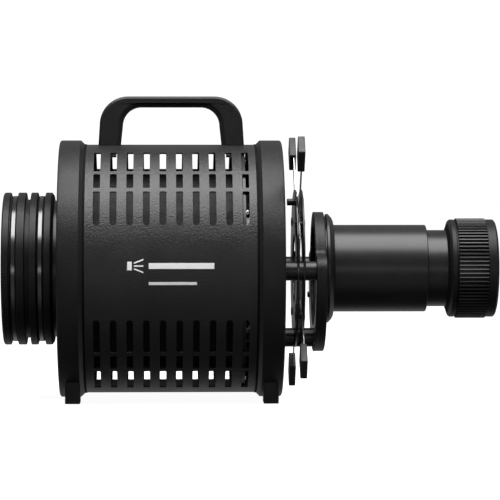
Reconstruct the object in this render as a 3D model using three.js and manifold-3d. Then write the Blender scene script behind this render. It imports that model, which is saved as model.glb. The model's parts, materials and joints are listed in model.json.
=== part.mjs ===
// Ellipsoidal spotlight attachment for a flash head, in millimetres, +Z up.
// X runs along the optical axis towards the lens, and the origin is the centre of the footprint.
import * as THREE from "three";
import { mergeVertices } from "three/addons/utils/BufferGeometryUtils.js";
import Module from "manifold-3d";

const wasm = await Module();
wasm.setup();

// ---------------------------------------------------------------- driving dimensions
// Stations along X are measured from the rear face of the rear ring.
const GAP = 0.3; // clearance left between separate pieces
const COLLAR_REAR = -43.5;
const LENS_FRONT = 339;
const AXIS_HEIGHT = 101.5; // optical axis above the surface that the feet stand on

const RING_R = 99.8; // outer radius of both end rings
const SHELL_R = 96.5;
const SHELL_THICK = 1.3;
const REAR_RING = { rear: 0, front: 19.2 };
const FRONT_RING = { rear: 152, front: 171.6 };
const RING_PLATE = 4.5; // thickness of the end plate in each ring
const RING_BEVEL = 3;
const RING_CORNER = 1.8;
const SEAT_R = 94.3; // inside radius of the rings where their end plates sit

const SLOT = { width: 5, pitch: 12.5, columns: 10, first: 29.7 };
// Each ventilation slot is three windows, given as angles above the horizontal, in degrees.
const WINDOWS = [
  { from: 21.6, to: 39, rounded: true },
  { from: 41.2, to: 49.8, rounded: false },
  { from: 52, to: 69.2, rounded: false },
];

const COLLAR = { boreR: 50, ribR: 59.2, grooveR: 55.6, bandR: 56.6 }; // bore for a 100 mm flash head
const COLLAR_RIBS = [[COLLAR_REAR, -37.2], [-32.2, -26.2], [-22.3, -16.6], [-11.8, -4.5]];
const BAND = { width: 3.2, fromRib: 0.7 }; // fromRib: gap to the rib in front of each band
const COLLAR_FLANGE = { innerR: 48.5, outerR: 53 };
const REAR_PLATE_BORE = 53.5;
const FRONT_PLATE_BORE = 40;

const TIE_R = 54; // radius of the circle that the tie bolts stand on
const TIE_END = 161; // rear end of the tie bolts, inside the drum
const TIE_ANGLES = { near: 180, far: 0, bottom: 270 }; // degrees from +Y towards +Z
const SPACER_R = 7.35;
const BOLT_R = 2.4;
const BOLT_HOLE_R = 2.8;
const PIN_R = 1.5; // thin part of the studs and knobs, where they pass through a plate
const PIN_HOLE_R = 1.8;
const BOLT_HEAD = { from: 201.3, to: 204.5, r: 4.2 }; // sunk into the front of the lens plate

const GATE_R = 61.4;
const APERTURE_R = 27;
const GATE_REAR = { rear: 182, front: 183.3 };
const GATE_FRONT = { rear: 186.7, front: 188 };
const LOCK_KNOB = { rear: 176.4, r: 2.7, height: 51.7 }; // clamps the gate, above the optical axis
const LOCK_NUT = { r: 3, thick: 1.2 };

// Blade outline, measured across and along the blade from its stud when the blade is fully open.
const BLADE = { thick: 0.4, half: 26.5, inner: -23, shoulder: 10, neck: 18, neckHalf: 7, tang: 83 };
const GRIP = { inner: 66.3, outer: 87.5, half: 8.8, behind: 3.35, ahead: 1.95 }; // of the blade's plane
const BLADE_TRAVEL = 30;
const STUD_DISTANCE = 50; // distance of each blade's stud from the optical axis, on the diagonal
const STUD_R = 2.2;
const STUD_HEAD = { r: 3.4, thick: 0.5 };
// lean: angle of the blade from the vertical; pushed: how far it is pushed in from fully open.
const BLADES = [
  { name: "near_top", side: -1, up: 1, lean: 45, pushed: 1.2, plane: 183.875 },
  { name: "far_top", side: 1, up: 1, lean: 45, pushed: 0.2, plane: 185.375 },
  { name: "far_bottom", side: 1, up: -1, lean: 39, pushed: 13.6, plane: 184.625 },
  { name: "near_bottom", side: -1, up: -1, lean: 55, pushed: 21.6, plane: 186.125 },
];

const GUIDE = { thick: 1.4, outerR: 60, innerR: 45, top: 5 }; // sits in a pocket behind the lens plate
const GUIDE_KNOB = { rear: 195, front: 203, r: 2.4, at: [50, -22.8] }; // at: across and up
const LENS_PLATE = { rear: 196.7, front: 204.7, upperR: 44, lowerR: 64.7, earTop: 12.2, fillet: 6 };
const FLANGE = { footR: 38.5, rimR: 42.5, rimFront: 208.2, front: 212.4 };
const BARREL = { rear: 199, front: 284.5, outerR: 33.9, innerR: 30.3 };
const DRAW_TUBE = { rear: 222, front: 335, outerR: 29.8, innerR: 27.2 };
const FOCUS_RING = { rear: 301.6, ribRear: 307.9, ribFront: 330.4, rimR: 38.1, ribR: 39, ribs: 78 };

const HANDLE = { middle: 86.2, half: 56.7, leg: 17.2, depth: 24, top: 133.8, innerTop: 125.5 };
const HANDLE_BEND = { outer: { r: 22, lean: 1 }, inner: { r: 14.5, lean: 1.6 } }; // lean: of each leg
const HANDLE_SCREW = { bottom: 86.5, seat: 94.3, top: 110, headR: 5 }; // heights above the axis
const FOOT = { length: 11.5, near: 32, outer: 52, rear: 4.9, front: 156.5 };
const TUNNEL = { rear: 8.2, front: 134.7, outerR: 77.6, thick: 1.2 };
const DIFFUSER = { rear: 5, front: 8, r: 60 };
const CELL = { rear: 124, front: 161, innerR: 55, outerR: 57.5 }; // holds the two condenser lenses
const CELL_WEB = { rear: 139.8, front: 142.3 }; // plate that centres the cell in the drum
const CONDENSER = { rear: 128, front: 157, bulge: 14 }; // flat faces of its lenses, curved sides inwards
const PROJECTION = { rear: 232, front: 318, bulge: 9 };
const RETAINER = { rear: 328, front: 333.5, innerR: 22.5 };

const LENS_EDGE = 2; // thickness of every lens at its rim

const BIG = 32; // facets round a large turned piece
const MEDIUM = 24;
const SMALL = 12;

// ---------------------------------------------------------------- materials
const material = (color, roughness, metalness) =>
  new THREE.MeshStandardMaterial({ color, roughness, metalness });
const BLACK_PAINT = material(0x1b1b1c, 0.5, 0.1);
const BLACK_ANODISED = material(0x161617, 0.35, 0.5);
const RUBBER = material(0x121212, 0.8, 0);
const GRIP_PLASTIC = material(0x151515, 0.6, 0);
const STEEL = material(0xb9b9ba, 0.25, 1);
const ALUMINIUM = material(0x9a9a96, 0.4, 1);
const GLASS = new THREE.MeshStandardMaterial({
  color: 0xdfe8ea, roughness: 0.05, metalness: 0, transparent: true, opacity: 0.35,
});
const FROSTED = material(0xe6e8e6, 0.7, 0);

// ---------------------------------------------------------------- geometry helpers
const radians = THREE.MathUtils.degToRad;

// A closed three.js geometry as a manifold-3d solid.
function solid(geometry) {
  const bare = new THREE.BufferGeometry()
    .setAttribute("position", geometry.getAttribute("position"))
    .setIndex(geometry.index);
  const merged = mergeVertices(bare, 1e-4);
  const index = merged.index.array;
  const triangles = [];
  for (let i = 0; i < index.length; i += 3) {
    const [a, b, c] = [index[i], index[i + 1], index[i + 2]];
    if (a !== b && b !== c && a !== c) triangles.push(a, b, c);
  }
  return new wasm.Manifold(new wasm.Mesh({
    numProp: 3,
    vertProperties: new Float32Array(merged.attributes.position.array),
    triVerts: new Uint32Array(triangles),
  }));
}

function geometryOf(made) {
  const mesh = made.getMesh();
  return new THREE.BufferGeometry()
    .setAttribute("position", new THREE.BufferAttribute(mesh.vertProperties, 3))
    .setIndex(new THREE.BufferAttribute(mesh.triVerts, 1));
}

const cut = (geometry, ...tools) =>
  geometryOf(tools.reduce((left, tool) => left.subtract(solid(tool)), solid(geometry)));

// A piece turned about the X axis, from the outline [[x, radius], ...] of its section.
function turned(outline, segments = MEDIUM) {
  const profile = outline.map(([x, r]) => new THREE.Vector2(r, x));
  if (THREE.ShapeUtils.area(profile) < 0) profile.reverse();
  if (profile[0].x > 0) profile.push(profile[0].clone());
  return new THREE.LatheGeometry(profile, segments).rotateZ(-Math.PI / 2);
}

const tube = (rear, front, innerR, outerR, segments) =>
  turned([[rear, innerR], [rear, outerR], [front, outerR], [front, innerR]], segments);

const rod = (rear, front, r, segments = SMALL) =>
  turned([[rear, 0], [rear, r], [front, r], [front, 0]], segments);

// The axes of a flat piece that stands across the optical axis: its sketch is drawn in Y and Z.
const ACROSS = new THREE.Matrix4().makeBasis(
  new THREE.Vector3(0, 1, 0), new THREE.Vector3(0, 0, 1), new THREE.Vector3(1, 0, 0),
);

function plate(shape, rear, front, curveSegments = 12) {
  const flat = new THREE.ExtrudeGeometry(shape, {
    depth: front - rear, bevelEnabled: false, curveSegments,
  });
  return flat.applyMatrix4(ACROSS).translate(rear, 0, 0);
}

function circle(r, y = 0, z = 0) {
  return new THREE.Path().absarc(y, z, r, 0, 2 * Math.PI, true);
}

function polygon(points) {
  return new THREE.Shape(points.map(([y, z]) => new THREE.Vector2(y, z)));
}

const polar = (r, degrees) => [r * Math.cos(radians(degrees)), r * Math.sin(radians(degrees))];
const tiePoints = Object.entries(TIE_ANGLES).map(([name, angle]) => [name, ...polar(TIE_R, angle)]);

// ---------------------------------------------------------------- assembly
const spotlight = new THREE.Group();
const axis = new THREE.Group(); // everything hangs on the optical axis
axis.position.set(-(COLLAR_REAR + LENS_FRONT) / 2, 0, AXIS_HEIGHT);
spotlight.add(axis);

function add(name, geometry, look, parent = axis) {
  const mesh = new THREE.Mesh(geometry, look);
  mesh.name = name;
  parent.add(mesh);
  return mesh;
}

// Rubber collar that grips the flash head, with its two steel bands and the flange behind it.
function addCollar() {
  const { boreR, ribR, grooveR, bandR } = COLLAR;
  const [rib1, rib2, rib3, rib4] = COLLAR_RIBS;
  const bed = bandR - 1.5; // radius that the bands sit on
  add("mount_collar", turned([
    [rib1[0], boreR], [rib1[0], ribR - 1.2], [rib1[0] + 1.2, ribR], [rib1[1], ribR], [rib1[1], bed],
    [rib2[0], bed], [rib2[0], ribR], [rib2[1], ribR], [rib2[1], grooveR],
    [rib3[0], grooveR], [rib3[0], ribR], [rib3[1], ribR], [rib3[1], bed],
    [rib4[0], bed], [rib4[0], ribR], [rib4[1] - 1.8, ribR], [rib4[1], ribR - 2.4], [rib4[1], boreR],
  ], BIG), RUBBER);
  const band = ([ribRear]) => {
    const front = ribRear - BAND.fromRib;
    return tube(front - BAND.width, front, bed + GAP, bandR, BIG);
  };
  add("collar_band_rear", band(rib2), STEEL);
  add("collar_band_front", band(rib4), STEEL);
  add("collar_flange", tube(rib4[1] + GAP, REAR_RING.rear - GAP,
    COLLAR_FLANGE.innerR, COLLAR_FLANGE.outerR, BIG), BLACK_ANODISED);
}

// The two end rings, each with a flat plate set into it.
function addEndRings() {
  const lip = SHELL_R + 0.7; // inside radius where a ring covers the shell
  const { rear, front } = REAR_RING;
  add("rear_ring", turned([
    [rear, SEAT_R], [rear, RING_R - RING_CORNER], [rear + RING_CORNER, RING_R],
    [front - RING_BEVEL, RING_R], [front, lip], [rear + RING_PLATE, lip], [rear + RING_PLATE, SEAT_R],
  ], BIG), BLACK_PAINT);
  add("rear_plate", tube(rear, rear + RING_PLATE, REAR_PLATE_BORE, SEAT_R - GAP, BIG),
    BLACK_PAINT);
  const { rear: back, front: face } = FRONT_RING;
  add("front_ring", turned([
    [back, lip], [back + RING_BEVEL, RING_R], [face - RING_CORNER, RING_R],
    [face, RING_R - RING_CORNER], [face, SEAT_R], [face - RING_PLATE, SEAT_R], [face - RING_PLATE, lip],
  ], BIG), BLACK_PAINT);
  const holes = tiePoints.map(([, y, z]) => rod(face - 10, face + 5, BOLT_HOLE_R).translate(0, y, z));
  const disc = tube(face - RING_PLATE, face, FRONT_PLATE_BORE, SEAT_R - GAP, BIG);
  add("front_plate", cut(disc, ...holes), BLACK_PAINT);
}

// The angles at which the shell's facets meet, so that the windows' ends fall on facet edges.
function shellAngles() {
  const quarter = [0, 10.8];
  for (const { from, to } of WINDOWS) {
    const steps = Math.max(1, Math.round((to - from) / 9));
    for (let i = 0; i <= steps; i++) quarter.push(from + ((to - from) * i) / steps);
  }
  quarter.push(79.7);
  const mirrored = quarter.slice(1).reverse().map((a) => 180 - a);
  const half = [...quarter, 90, ...mirrored];
  return [...half, ...half.map((a) => a + 180)];
}

// One window of one slot, as wedges that reach through the shell.
function windowTools(x, { from, to, rounded }) {
  const [inner, outer] = [SHELL_R - 4, SHELL_R + 4];
  const end = rounded ? from + THREE.MathUtils.radToDeg(SLOT.width / 2 / SHELL_R) : from;
  const corners = [polar(inner, end), polar(outer, end), polar(outer, to), polar(inner, to)];
  const wedge = plate(polygon(corners), x - SLOT.width / 2, x + SLOT.width / 2);
  if (!rounded) return [wedge];
  const roundEnd = rod(inner, outer, SLOT.width / 2, 6).rotateZ(Math.PI / 2).rotateX(radians(end));
  return [wedge, roundEnd.translate(x, 0, 0)];
}

function addShell() {
  const ring = (r) => shellAngles().map((a) => new THREE.Vector2(...polar(r, a)));
  const shape = new THREE.Shape(ring(SHELL_R));
  shape.holes.push(new THREE.Path(ring(SHELL_R - SHELL_THICK).reverse()));
  const [rear, front] = [REAR_RING.rear + RING_PLATE + 0.4, FRONT_RING.front - RING_PLATE - 0.4];
  const tools = [];
  for (let column = 0; column < SLOT.columns; column++)
    for (const opening of WINDOWS)
      tools.push(...windowTools(SLOT.first + column * SLOT.pitch, opening).map(solid));
  const farTop = wasm.Manifold.union(tools);
  const top = farTop.add(farTop.mirror([0, 1, 0]));
  const shell = solid(plate(shape, rear, front)).subtract(top.add(top.mirror([0, 0, 1])));
  const screwHoles = handleScrewStations().map((x) => upright(rod(85, 100, 3), x));
  add("body_shell", cut(geometryOf(shell), ...screwHoles), BLACK_PAINT);
}

const handleScrewStations = () =>
  [-1, 1].map((end) => HANDLE.middle + end * (HANDLE.half - HANDLE.leg / 2 - 0.5));

// Stands a piece made along X upright at station x.
const upright = (geometry, x) => geometry.rotateY(-Math.PI / 2).translate(x, 0, 0);

// One leg's side of the handle's outline, from inside the shell up and round the bend.
function handleSide(half, top, { r, lean }) {
  const bend = new THREE.EllipseCurve(-half + lean + r, top - r, r, r, Math.PI, Math.PI / 2, true);
  return [new THREE.Vector2(-half, SHELL_R - 6), ...bend.getPoints(6)];
}

function addHandle() {
  const { middle, half, leg, depth, top, innerTop } = HANDLE;
  const outer = handleSide(half, top, HANDLE_BEND.outer);
  const inner = handleSide(half - leg, innerTop, HANDLE_BEND.inner);
  const mirrored = (points) => points.map((p) => new THREE.Vector2(-p.x, p.y)).reverse();
  const under = [...inner, ...mirrored(inner)].reverse();
  const outline = new THREE.Shape([...outer, ...mirrored(outer), ...under]);
  const bar = new THREE.ExtrudeGeometry(outline, { depth, bevelEnabled: false })
    .rotateX(Math.PI / 2).translate(middle, depth / 2, 0);
  const shellSpace = rod(0, 200, SHELL_R + GAP, 64);
  const holes = handleScrewStations().map((x) => upright(rod(80, 112, BOLT_HOLE_R), x));
  add("handle", cut(bar, shellSpace, ...holes), BLACK_PAINT);
  const { bottom, seat, top: tip, headR } = HANDLE_SCREW;
  const screw = [[bottom, 0], [bottom, headR], [seat, headR], [seat, BOLT_R], [tip, BOLT_R], [tip, 0]];
  handleScrewStations().forEach((x, i) => {
    add(`handle_screw_${["rear", "front"][i]}`, upright(turned(screw, SMALL), x), STEEL);
  });
}

function addFeet() {
  const { length, near, outer } = FOOT;
  const block = new THREE.BoxGeometry(length, outer - near, 40)
    .translate(length / 2, (near + outer) / 2, -AXIS_HEIGHT + 20);
  const tool = rod(-5, 30, RING_R + GAP, 96);
  const far = cut(block, tool);
  for (const [end, x] of [["rear", FOOT.rear], ["front", FOOT.front]])
    for (const [side, sign] of [["far", 1], ["near", -1]]) {
      const foot = add(`foot_${end}_${side}`, far, RUBBER);
      foot.position.x = x;
      foot.scale.y = sign;
    }
}

// Diffuser glass, light tunnel and condenser, inside the shell.
function addOptics() {
  const { rear, front, outerR, thick } = TUNNEL;
  add("diffuser_glass", rod(DIFFUSER.rear, DIFFUSER.front, DIFFUSER.r), FROSTED);
  add("light_tunnel", tube(rear, front, outerR - thick, outerR, BIG), BLACK_PAINT);
  add("condenser_cell", tube(CELL.rear, CELL.front, CELL.innerR, CELL.outerR, MEDIUM), ALUMINIUM);
  const web = tube(CELL_WEB.rear, CELL_WEB.front, CELL.outerR + GAP, SEAT_R, MEDIUM);
  add("condenser_web", web, BLACK_ANODISED);
  const lensR = CELL.innerR - GAP;
  const { rear: first, front: second, bulge } = CONDENSER;
  const spacer = tube(first + LENS_EDGE + 0.5, second - LENS_EDGE - 0.5, lensR - 2, lensR, MEDIUM);
  add("condenser_lens_rear", planoConvex(first, bulge, lensR), GLASS);
  add("condenser_spacer", spacer, BLACK_ANODISED);
  add("condenser_lens_front", planoConvex(second, -bulge, lensR), GLASS);
}

// A lens with its flat side at x and its curved side bulging to x + bulge at its centre.
function planoConvex(x, bulge, r) {
  const edge = Math.sign(bulge) * LENS_EDGE;
  const crown = [0.95, 0.7, 0.35].map((k) => [x + edge + (bulge - edge) * (1 - k * k), (r - 2.4) * k]);
  return turned([[x, 0], [x, r], [x + edge, r], ...crown, [x + bulge, 0]]);
}

// The two plates of the shutter gate, clamped between spacers on three tie bolts.
function addGate() {
  const disc = new THREE.Shape().absarc(0, 0, GATE_R, 0, 2 * Math.PI, false);
  disc.holes.push(circle(APERTURE_R));
  const drill = (r, y, z) =>
    rod(GATE_REAR.rear - 5, GATE_FRONT.front + 5, r, 8).translate(0, y, z);
  const drills = [
    ...tiePoints.map(([, y, z]) => drill(BOLT_HOLE_R, y, z)),
    ...BLADES.map(({ side, up }) => drill(PIN_HOLE_R, ...studPoint(side, up))),
    drill(PIN_HOLE_R, 0, LOCK_KNOB.height),
  ];
  const boss = rod(GATE_REAR.rear + 0.5, GATE_FRONT.rear - GAP, SPACER_R, 16);
  const rear = tiePoints.reduce(
    (left, [, y, z]) => left.add(solid(boss).translate([0, y, z])),
    solid(plate(disc, GATE_REAR.rear, GATE_REAR.front, 16)),
  );
  add("gate_rear_plate", cut(geometryOf(rear), ...drills), ALUMINIUM);
  const front = plate(disc, GATE_FRONT.rear, GATE_FRONT.front, 16);
  add("gate_front_plate", cut(front, ...drills), BLACK_ANODISED);
  const [behind, ahead] = [GATE_REAR.rear - GAP, GATE_FRONT.front + GAP];
  const knob = turned([
    [LOCK_KNOB.rear, 0], [LOCK_KNOB.rear, LOCK_KNOB.r], [behind, LOCK_KNOB.r], [behind, PIN_R],
    [ahead, PIN_R], [ahead, LOCK_NUT.r], [ahead + LOCK_NUT.thick, LOCK_NUT.r],
    [ahead + LOCK_NUT.thick, 0],
  ], SMALL);
  add("gate_lock_knob", knob, BLACK_ANODISED).position.set(0, 0, LOCK_KNOB.height);
}

function addTies() {
  const behind = tube(FRONT_RING.front + GAP, GATE_REAR.rear - GAP, BOLT_HOLE_R, SPACER_R, 16);
  const ahead = tube(GATE_FRONT.front + GAP, LENS_PLATE.rear - GAP, BOLT_HOLE_R, SPACER_R, 16);
  const { from, to, r } = BOLT_HEAD;
  const bolt = turned([
    [TIE_END, 0], [TIE_END, BOLT_R], [from + GAP, BOLT_R], [from + GAP, r], [to, r], [to, 0],
  ], 10);
  for (const [name, y, z] of tiePoints) {
    add(`rear_spacer_${name}`, behind, BLACK_ANODISED).position.set(0, y, z);
    add(`front_spacer_${name}`, ahead, BLACK_ANODISED).position.set(0, y, z);
    add(`tie_bolt_${name}`, bolt, STEEL).position.set(0, y, z);
  }
}

const studPoint = (side, up) => [
  side * STUD_DISTANCE * Math.SQRT1_2,
  up * STUD_DISTANCE * Math.SQRT1_2,
];

// A shutter blade in its own plane: u across it and v outwards, from its stud when fully open.
function bladeShape() {
  const { half, inner, shoulder, neck, neckHalf, tang } = BLADE;
  const right = [
    [half - 3, inner], [half, inner + 3], [half, shoulder - 4], [half - 3, shoulder],
    [neckHalf + 5, neck - 4], [neckHalf, neck], [neckHalf, tang],
  ];
  const left = right.map(([u, v]) => [-u, v]).reverse();
  const shape = polygon([...right, ...left]);
  const slotHalf = STUD_R + GAP;
  shape.holes.push(new THREE.Path()
    .absarc(0, BLADE_TRAVEL, slotHalf, Math.PI, 0, true)
    .absarc(0, 0, slotHalf, 0, -Math.PI, true));
  return shape;
}

// A blade's moulded grip, with the pocket that its tang sits in.
function gripGeometry() {
  const { inner, outer, half, behind, ahead } = GRIP;
  const bevel = 1.5;
  const block = plate(polygon([
    [-half, inner + bevel], [-half + bevel, inner], [half - bevel, inner], [half, inner + bevel],
    [half, outer - bevel], [half - bevel, outer], [-half + bevel, outer], [-half, outer - bevel],
  ]), -behind, ahead);
  const pocketDepth = BLADE.tang + GAP - inner + 2;
  const pocket = new THREE.BoxGeometry(BLADE.thick + 2 * GAP, 2 * (BLADE.neckHalf + GAP), pocketDepth)
    .translate(0, 0, inner - 2 + pocketDepth / 2);
  return cut(block, pocket);
}

// A stud that clamps one blade's slot, with a low head on each side of the gate.
function studGeometry() {
  const [behind, ahead] = [GATE_REAR.rear - GAP, GATE_FRONT.front + GAP];
  const [inRear, inFront] = [GATE_REAR.front + 0.1, GATE_FRONT.rear - 0.1];
  const { r, thick } = STUD_HEAD;
  return turned([
    [behind - thick, 0], [behind - thick, r], [behind, r], [behind, PIN_R], [inRear, PIN_R],
    [inRear, STUD_R], [inFront, STUD_R], [inFront, PIN_R], [ahead, PIN_R], [ahead, r],
    [ahead + thick, r], [ahead + thick, 0],
  ], 8);
}

function addBlades() {
  const blade = plate(bladeShape(), -BLADE.thick / 2, BLADE.thick / 2, 4);
  const grip = gripGeometry();
  const stud = studGeometry();
  for (const { name, side, up, lean, pushed, plane } of BLADES) {
    const pivot = new THREE.Group();
    pivot.position.set(0, ...studPoint(side, up));
    axis.add(pivot);
    add(`stud_${name}`, stud, BLACK_ANODISED, pivot);
    const slide = new THREE.Group();
    // A turn about X takes the blade's outward direction from +Z towards -Y.
    slide.rotation.x = up > 0 ? -side * radians(lean) : Math.PI + side * radians(lean);
    pivot.add(slide);
    const blank = new THREE.Group();
    blank.position.set(plane, 0, -pushed);
    slide.add(blank);
    add(`blade_${name}`, blade, STEEL, blank);
    add(`grip_${name}`, grip, GRIP_PLASTIC, blank);
  }
}

// The shield-shaped plate that carries the lens: a disc above, a larger half disc below.
function lensPlateShape() {
  const { upperR, lowerR, earTop, fillet } = LENS_PLATE;
  const earCentre = TIE_R;
  const earR = lowerR - earCentre;
  const meet = Math.sqrt((upperR + fillet) ** 2 - (earTop + fillet) ** 2);
  const meetAngle = Math.atan2(earTop + fillet, meet);
  return new THREE.Shape()
    .absarc(0, 0, upperR, meetAngle, Math.PI - meetAngle, false)
    .absarc(-meet, earTop + fillet, fillet, -meetAngle, -Math.PI / 2, true)
    .lineTo(-earCentre, earTop)
    .absarc(-earCentre, 0, earR, Math.PI / 2 + 0.2, Math.PI, false)
    .absarc(0, 0, lowerR, Math.PI, 2 * Math.PI, false)
    .absarc(earCentre, 0, earR, 0, Math.PI / 2 - 0.2, false)
    .lineTo(earCentre, earTop)
    .absarc(meet, earTop + fillet, fillet, -Math.PI / 2, -Math.PI + meetAngle, true);
}

// The U-shaped guide that a pattern holder drops into; margin widens it, for its pocket.
function guideShape(margin = 0) {
  const [outer, inner, top] = [GUIDE.outerR + margin, GUIDE.innerR - margin, GUIDE.top + margin];
  return new THREE.Shape()
    .moveTo(-outer, top).absarc(0, 0, outer, Math.PI, 2 * Math.PI, false).lineTo(outer, top)
    .lineTo(inner, top).absarc(0, 0, inner, 0, -Math.PI, true).lineTo(-inner, top);
}

function addLensPlate() {
  const { rear, front: face } = LENS_PLATE;
  const drill = (r, y, z, segments = 10) => rod(190, 210, r, segments).translate(0, y, z);
  const drills = tiePoints.map(([, y, z]) => drill(BOLT_HOLE_R, y, z));
  drills.push(drill(PIN_HOLE_R, ...GUIDE_KNOB.at));
  const sinks = tiePoints.map(([, y, z]) =>
    rod(BOLT_HEAD.from, face + 1, BOLT_HEAD.r + GAP, SMALL).translate(0, y, z));
  const barrelHole = drill(BARREL.outerR + GAP, 0, 0, BIG);
  const pocket = plate(guideShape(GAP), rear - 1, rear + GUIDE.thick + GAP, 10);
  const body = plate(lensPlateShape(), rear, face, 8);
  add("lens_plate", cut(body, barrelHole, pocket, ...drills, ...sinks), BLACK_PAINT);

  const guide = plate(guideShape(), rear, rear + GUIDE.thick, 10);
  add("accessory_guide", cut(guide, ...drills), ALUMINIUM);
  const knob = turned([
    [GUIDE_KNOB.rear, 0], [GUIDE_KNOB.rear, GUIDE_KNOB.r], [rear - GAP, GUIDE_KNOB.r],
    [rear - GAP, PIN_R], [GUIDE_KNOB.front, PIN_R], [GUIDE_KNOB.front, 0],
  ], 10);
  add("guide_knob", knob, BLACK_ANODISED).position.set(0, ...GUIDE_KNOB.at);

  const { footR, rimR, rimFront, front } = FLANGE;
  const bore = BARREL.outerR + GAP;
  const back = face + GAP;
  add("lens_flange", turned([
    [back, bore], [back, footR], [back + 0.8, footR], [back + 0.8, rimR], [rimFront, rimR],
    [rimFront + 2.5, rimR - 2.7], [front - 0.6, rimR - 4.9], [front, bore],
  ], BIG), BLACK_ANODISED);
}

function addLens() {
  const { rear, front, outerR, innerR } = BARREL;
  add("lens_barrel", turned([
    [rear, innerR], [rear, outerR], [front - 0.6, outerR], [front, outerR - 0.6], [front, innerR],
  ], BIG), BLACK_ANODISED);
  const draw = DRAW_TUBE;
  add("draw_tube", tube(draw.rear, draw.front, draw.innerR, draw.outerR, BIG), BLACK_ANODISED);
  const glassR = draw.innerR - GAP;
  add("projection_lens_rear", planoConvex(PROJECTION.rear, PROJECTION.bulge, glassR), GLASS);
  add("projection_lens_front", planoConvex(PROJECTION.front, PROJECTION.bulge, glassR), GLASS);
  const retainer = tube(RETAINER.rear, RETAINER.front, RETAINER.innerR, glassR, MEDIUM);
  add("lens_retainer", retainer, BLACK_ANODISED);
  add("focus_ring", focusRingGeometry(), BLACK_ANODISED);
}

// The ribbed ring that focuses the lens: two smooth rims with ribs cut along the axis between them.
function focusRingGeometry() {
  const { rear, ribRear, ribFront, rimR, ribR, ribs } = FOCUS_RING;
  const bore = DRAW_TUBE.outerR + 0.4;
  const body = solid(turned([
    [rear, bore], [rear, rimR - 2.4], [rear + 1.2, rimR], [LENS_FRONT - 1.6, rimR],
    [LENS_FRONT, rimR - 3.7], [LENS_FRONT, 31], [LENS_FRONT - 2.6, bore],
  ], BIG));
  const teeth = [];
  for (let i = 0; i < 2 * ribs; i++) teeth.push(polar(i % 2 ? rimR + 0.05 : ribR, (180 * i) / ribs));
  const shape = polygon(teeth);
  shape.holes.push(circle(rimR - 3));
  return geometryOf(body.add(solid(plate(shape, ribRear, ribFront, 8))));
}

addCollar();
addEndRings();
addShell();
addHandle();
addFeet();
addOptics();
addGate();
addTies();
addBlades();
addLensPlate();
addLens();

export default spotlight;
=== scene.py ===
"""Ellipsoidal spotlight attachment: the detailed model, its materials, and the studio round it."""
import json
import math

import bmesh
import bpy
from mathutils import Matrix, Vector


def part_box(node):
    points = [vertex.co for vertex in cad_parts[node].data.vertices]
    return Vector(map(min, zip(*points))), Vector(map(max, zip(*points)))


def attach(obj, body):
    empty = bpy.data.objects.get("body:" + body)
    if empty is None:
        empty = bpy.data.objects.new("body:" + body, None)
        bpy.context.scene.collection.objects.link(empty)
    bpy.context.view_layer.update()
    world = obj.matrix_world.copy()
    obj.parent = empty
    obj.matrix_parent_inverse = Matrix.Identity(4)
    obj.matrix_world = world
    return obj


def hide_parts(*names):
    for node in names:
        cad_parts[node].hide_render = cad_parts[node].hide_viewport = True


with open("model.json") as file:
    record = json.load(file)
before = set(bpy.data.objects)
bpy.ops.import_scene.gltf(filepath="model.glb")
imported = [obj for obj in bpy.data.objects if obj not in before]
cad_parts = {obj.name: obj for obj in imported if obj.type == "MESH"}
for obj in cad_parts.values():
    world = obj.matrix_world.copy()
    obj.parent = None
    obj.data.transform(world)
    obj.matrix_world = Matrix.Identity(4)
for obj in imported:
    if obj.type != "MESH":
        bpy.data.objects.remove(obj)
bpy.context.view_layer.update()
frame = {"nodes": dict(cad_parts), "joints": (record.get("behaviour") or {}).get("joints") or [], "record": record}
record = frame["record"]
JOINTS = {joint["name"]: joint for joint in frame["joints"]}
NODE_BODY = {node: body for body, nodes in record["behaviour"]["bodies"].items() for node in nodes}

# Lengths are in millimetres. X runs forward from the rear face of the rear ring, along the
# optical axis. Y runs away from the camera and Z runs up, both from that axis.
MM = 0.001
barrel_low, barrel_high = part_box("lens_barrel")
ORIGIN = Vector((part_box("rear_ring")[0].x, 0, (barrel_low.z + barrel_high.z) / 2))
FACETS = 144  # round a large turned piece
WELD = 0.0001  # points closer than this are one point
SIDES = ("near_top", "far_top", "far_bottom", "near_bottom")
TIES = ("near", "far", "bottom")


def local_box(node):
    """A CAD node's lowest and highest corners, in millimetres from the origin above."""
    low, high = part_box(node)
    return (low - ORIGIN) / MM, (high - ORIGIN) / MM


def span(node):
    """Where a node starts and ends along the optical axis."""
    low, high = local_box(node)
    return low.x, high.x


def radius(node):
    low, high = local_box(node)
    return (high.z - low.z) / 2


def centre(node):
    low, high = local_box(node)
    return (low + high) / 2


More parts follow.
